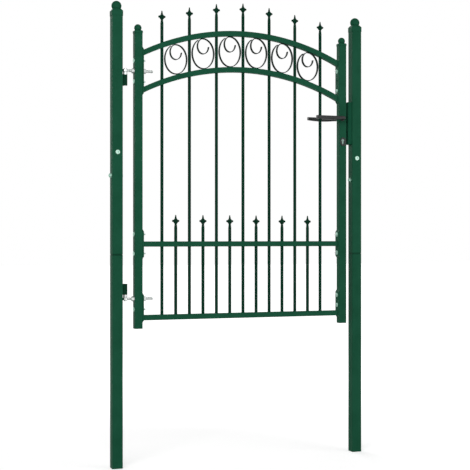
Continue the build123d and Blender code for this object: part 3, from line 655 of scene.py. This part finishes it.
# %% Height of the arches and places of the bars
RAIL = 0.020
ARCH_RADIUS = 0.916
LONG_BARS = 7
low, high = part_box("long_bars")
bar_width = high.y - low.y
pitch = (high.x - low.x - bar_width) / (LONG_BARS - 1)
long_x = [low.x + bar_width / 2 + i * pitch for i in range(LONG_BARS)]
short_x = [x + pitch / 2 for x in long_x[:-1]]
leaf_middle = (low.x + high.x) / 2
arch_tops = [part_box(node)[1].z for node in ("upper_arch_rail", "lower_arch_rail")]


def arch_height(top, radius, x):
    """Height of an arch's upper or lower wall, told apart by the radius, at a place along the leaf."""
    return top - ARCH_RADIUS + math.sqrt(radius**2 - (x - leaf_middle) ** 2)


print(f"bars {pitch:.4f} m apart, arches {arch_tops[0] - arch_tops[1]:.3f} m apart")


# %% [markdown]
# ## Where the bars meet the rails
#
# Long bars pass through three rails and stand in the fourth, short bars pass through one. On the straight
# rails the rings lie level. On an arch they lie on its curved wall, so each ring is turned to the arch's
# normal there and stretched along the slope.

# %% Bar welds
RING_RADIUS = 0.0013


def ring_on_arch(top, radius, x):
    """Matrix that lays a ring on an arch's wall, stretched along the slope."""
    across = (x - leaf_middle) / radius
    upright = math.sqrt(1 - across**2)
    place = Matrix.Translation((x, 0, arch_height(top, radius, x)))
    return place @ Matrix.Rotation(math.asin(across), 4, "Y") @ Matrix.Diagonal((1 / upright, 1, 1, 1))


spots = []
for node in ("bottom_rail", "middle_rail"):
    low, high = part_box(node)
    faces = (high.z,) if node == "bottom_rail" else (low.z, high.z)
    spots += [Matrix.Translation((x, 0, z)) for x in long_x + short_x for z in faces]
for top in arch_tops:
    spots += [ring_on_arch(top, radius, x) for x in long_x for radius in (ARCH_RADIUS, ARCH_RADIUS - RAIL)]
rings = copies(weld_ring(bar_width / 2, RING_RADIUS), spots)
# The bar welds take the bar paint, whose darker tone is painted shade.
fit(join(rings, "bar_welds"), "leaf", bar_shaded_paint, WELD_SMOOTH_ANGLE)


# %% [markdown]
# ## Where the rails meet the plates
#
# A rail end is welded all round to its plate: one bead above, one below and one on each side. The arched
# rails come in at a slope, so their side beads are a little longer and their ends are worked out from the
# arch.

# %% Rail welds
BEAD_RADIUS = 0.0019
rail_low, rail_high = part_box("bottom_rail")
ends = []
for node in ("bottom_rail", "middle_rail"):
    low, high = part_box(node)
    ends += [(x, low.z, high.z) for x in (low.x, high.x)]
for top in arch_tops:
    for x in (rail_low.x, rail_high.x):
        ends.append((x, arch_height(top, ARCH_RADIUS - RAIL, x), arch_height(top, ARCH_RADIUS, x)))
beads = []
for x, foot, head in ends:
    level = [facing((x, 0, z), (0, 1, 0)) for z in (foot, head)]
    upright = [facing((x, y, (foot + head) / 2), (0, 0, 1)) for y in (-RAIL / 2, RAIL / 2)]
    beads += copies(weld_bead(RAIL, BEAD_RADIUS), level)
    beads += copies(weld_bead(head - foot, BEAD_RADIUS), upright)
fit(join(beads, "rail_welds"), "leaf", tube_paint, WELD_SMOOTH_ANGLE)


# %% [markdown]
# ## Where the scroll rings touch
#
# Each ring is tacked to the arch above and the arch below with one drop of weld. An oval touches a slope
# beside its top, at the point where its own tangent has that slope, so the place follows from the oval's half
# width and half height.

# %% Ring tacks
RING_SIDE_GAP = 0.0037
TACK_RADIUS = 0.0016
half_width = pitch / 2 - bar_width / 2 - RING_SIDE_GAP
above = (arch_tops[0], ARCH_RADIUS - RAIL)
below = (arch_tops[1], ARCH_RADIUS)
tacks = []
for x in short_x:
    half_height = (arch_height(*above, x) - arch_height(*below, x)) / 2
    for (top, radius), side in ((above, 1), (below, -1)):
        across = x - leaf_middle
        slope = -across / math.sqrt(radius**2 - across**2)
        touch = x - side * slope * half_width**2 / half_height
        tacks.append(facing((touch, 0, arch_height(top, radius, touch)), (0, 1, 0)))
ring_low, ring_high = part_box("scroll_rings")
tack = weld_bead(ring_high.y - ring_low.y, TACK_RADIUS)
# The tacks take the bar paint, whose darker tone is painted shade.
fit(join(copies(tack, tacks), "ring_tacks"), "leaf", bar_shaded_paint, WELD_SMOOTH_ANGLE)


# %% [markdown]
# ## Welds on the posts
#
# The hinge blocks carry the whole leaf, so each is welded to the hinge post all round. The keeper only has
# to hold against a slammed gate and gets four short runs.

# %% Hinge block and keeper welds
KEEPER_RUN = 0.032
beads = []
for node in ("upper_hinge_block", "lower_hinge_block"):
    low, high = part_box(node)
    spots = [facing((low.x, y, (low.z + high.z) / 2), (0, 0, 1)) for y in (low.y, high.y)]
    beads += copies(weld_bead(high.z - low.z, BEAD_RADIUS), spots)
    spots = [facing((low.x, 0, z), (0, 1, 0)) for z in (low.z, high.z)]
    beads += copies(weld_bead(high.y - low.y, BEAD_RADIUS), spots)
fit(join(beads, "hinge_block_welds"), "posts", tube_paint, WELD_SMOOTH_ANGLE)

low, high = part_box("lock_keeper")
heights = (low.z + KEEPER_RUN, high.z - KEEPER_RUN)
spots = [facing((high.x, y, z), (0, 0, 1)) for y in (low.y, high.y) for z in heights]
runs = copies(weld_bead(KEEPER_RUN, BEAD_RADIUS), spots)
fit(join(runs, "keeper_welds"), "posts", tube_paint, WELD_SMOOTH_ANGLE)


# %% [markdown]
# ## Screws in the lock
#
# The lock's face plate is held by one countersunk screw above and one below. Each is a shallow head, sunk a
# little, with a cross cut into it by two Booleans. Its sizes are shares of its radius.

# %% Cross-head screws
FACE_SCREW = 0.0036
FACE_SCREW_INSET = 0.0065
FACE_SCREW_SIDES = 32
HEAD_SHARE = 0.22
SUNK_SHARE = 0.05
EDGE_SHARE = 0.08
SLIT_LENGTH_SHARE = 1.3
SLIT_WIDTH_SHARE = 0.24
SLIT_HEIGHT_SHARE = 0.2
SLIT_MIDDLE_SHARE = 0.12


def cross_screw(radius):
    """Low screw head with a cross recess, on the bench."""
    head = disc(radius, HEAD_SHARE * radius, -SUNK_SHARE * radius, EDGE_SHARE * radius, FACE_SCREW_SIDES)
    long, narrow = SLIT_LENGTH_SHARE * radius, SLIT_WIDTH_SHARE * radius
    for length, width in ((long, narrow), (narrow, long)):
        slit = fresh(bpy.ops.mesh.primitive_cube_add, "slit", size=1,
                     location=(0, 0, SLIT_MIDDLE_SHARE * radius),
                     scale=(length, width, SLIT_HEIGHT_SHARE * radius))
        cut(head, "DIFFERENCE", slit)
    return head


low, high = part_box("lock_case")
heights = (low.z + FACE_SCREW_INSET, high.z - FACE_SCREW_INSET)
screws = copies(cross_screw(FACE_SCREW), [facing((high.x, 0, z), (1, 0, 0)) for z in heights])
fit(join(screws, "lock_face_screws"), "leaf", lock_steel)


# %% [markdown]
# ## A surround that only looks white
#
# A product picture of dark paint wants a white surround, but a surround that bright would wash the paint out.
# The light path knows what sort of ray is asking, so floor and world turn white only for what the camera and
# the mirror-like surfaces see. The gate itself is lit at a plain level, at which its colours come out about
# as they are written.

# %% Rays that see the surround
def seen_by(wiring, *kinds):
    """1 for rays of the named kinds and 0 for all others."""
    rays = wiring.add("ShaderNodeLightPath").outputs
    seen = rays[kinds[0]]
    for kind in kinds[1:]:
        seen = wiring.reckon("MAXIMUM", seen, rays[kind])
    return seen


# %% [markdown]
# ## Floor
#
# The floor is a plain pale sheet that glows for the camera. Round the posts its glow is a little lower, so
# that their soft shadow can show there, and it rises to nearly white with the distance from the hinge post's
# foot, where the frame has its origin.

# %% Pale floor
FLOOR_SIZE = 60.0
FLOOR_MIDDLE = (0.5, 0, 0)
FLOOR_GREY = (0.8, 0.8, 0.8, 1)
FLOOR_ROUGHNESS = 0.9
GLOW_NEAR = 0.46
GLOW_FAR = 0.95
GLOW_RISES_FROM = 0.9
GLOW_RISES_TO = 2.6
WHITE = (1, 1, 1, 1)


def pale_floor():
    """Large floor whose glow hides its edge and keeps the shadow."""
    floor = fresh(bpy.ops.mesh.primitive_plane_add, "floor", size=FLOOR_SIZE, location=FLOOR_MIDDLE)
    pale = Finish("pale_floor")
    away = pale.add("ShaderNodeVectorMath")
    away.operation = "LENGTH"
    pale.fill(away, {"Vector": pale.place})
    glow = pale.add("ShaderNodeMapRange", Value=away.outputs["Value"], From_Min=GLOW_RISES_FROM,
                    From_Max=GLOW_RISES_TO, To_Min=GLOW_NEAR, To_Max=GLOW_FAR)
    shown = pale.reckon("MULTIPLY", glow.outputs["Result"],
                        seen_by(pale, "Is Camera Ray", "Is Glossy Ray"))
    pale.set(Base_Color=FLOOR_GREY, Roughness=FLOOR_ROUGHNESS, Emission_Color=WHITE,
             Emission_Strength=shown)
    floor.data.materials.append(pale.material)
    print(f"floor: {FLOOR_SIZE:.0f} m square")


pale_floor()


# %% [markdown]
# ## World
#
# The world could light the gate alone, but evenly from all sides, which leaves tubes flat. So it gives about
# a quarter of full white as a light, and the lamps do the rest.

# %% World
WORLD_ON_OBJECT = 0.26


def white_world():
    """World that is white to look at and dimmer as a light."""
    world = bpy.data.worlds.new("studio")
    world.use_nodes = True
    bpy.context.scene.world = world
    sky = Wiring(world.node_tree)
    seen = seen_by(sky, "Is Camera Ray", "Is Glossy Ray", "Is Transmission Ray")
    level = sky.add("ShaderNodeMapRange", Value=seen, To_Min=WORLD_ON_OBJECT, To_Max=1.0)
    sky.fill(sky.tree.nodes["Background"], {"Color": WHITE, "Strength": level.outputs["Result"]})
    print("world on the object:", WORLD_ON_OBJECT)


white_world()


# %% [markdown]
# ## Lamps
#
# Three big soft lamps add the direction: the key from the hinge side, a weaker fill from the lock side, and
# one from behind that keeps the back of the gate readable when it is turned round. All of them aim at the
# middle of the gate.

# %% Lamps
LAMP_SIZE = 2.4
GATE_MIDDLE = (0.5, 0, 0.95)
LAMPS = {
    "key": ((-1.6, -3.2, 2.6), 80),
    "fill": ((2.8, -2.6, 1.6), 27),
    "back": ((0.5, 3.2, 2.4), 40),
}
for name, (place, watts) in LAMPS.items():
    bpy.ops.object.light_add(type="AREA", location=place)
    light = bpy.context.object
    light.name = name
    light.data.size = LAMP_SIZE
    light.data.energy = watts
    toward = Vector(GATE_MIDDLE) - Vector(place)
    light.rotation_euler = toward.to_track_quat("-Z", "Y").to_euler()
print("lamps:", ", ".join(LAMPS))


# %% [markdown]
# ## Camera
#
# The picture was taken level, a little to the hinge side of the gate, with a long lens. Level means that
# every upright stays upright, so the frame is slid with a small shift instead of tilting the camera.

# %% Camera
CAMERA_PLACE = (-1.111, -4.305, 0.867)
CAMERA_TURN = math.radians(20.8)
CAMERA_LENS = 90.3
FILM_WIDTH = 36
FRAME_SHIFT = (-0.0259, 0.0035)

bpy.ops.object.camera_add(location=CAMERA_PLACE, rotation=(QUARTER_TURN, 0, -CAMERA_TURN))
camera = bpy.context.object
camera.data.lens = CAMERA_LENS
camera.data.sensor_width = FILM_WIDTH
camera.data.shift_x, camera.data.shift_y = FRAME_SHIFT
bpy.context.scene.camera = camera
bpy.context.scene.view_settings.view_transform = "Standard"
print("camera at", CAMERA_PLACE, "with a lens of", CAMERA_LENS, "mm")
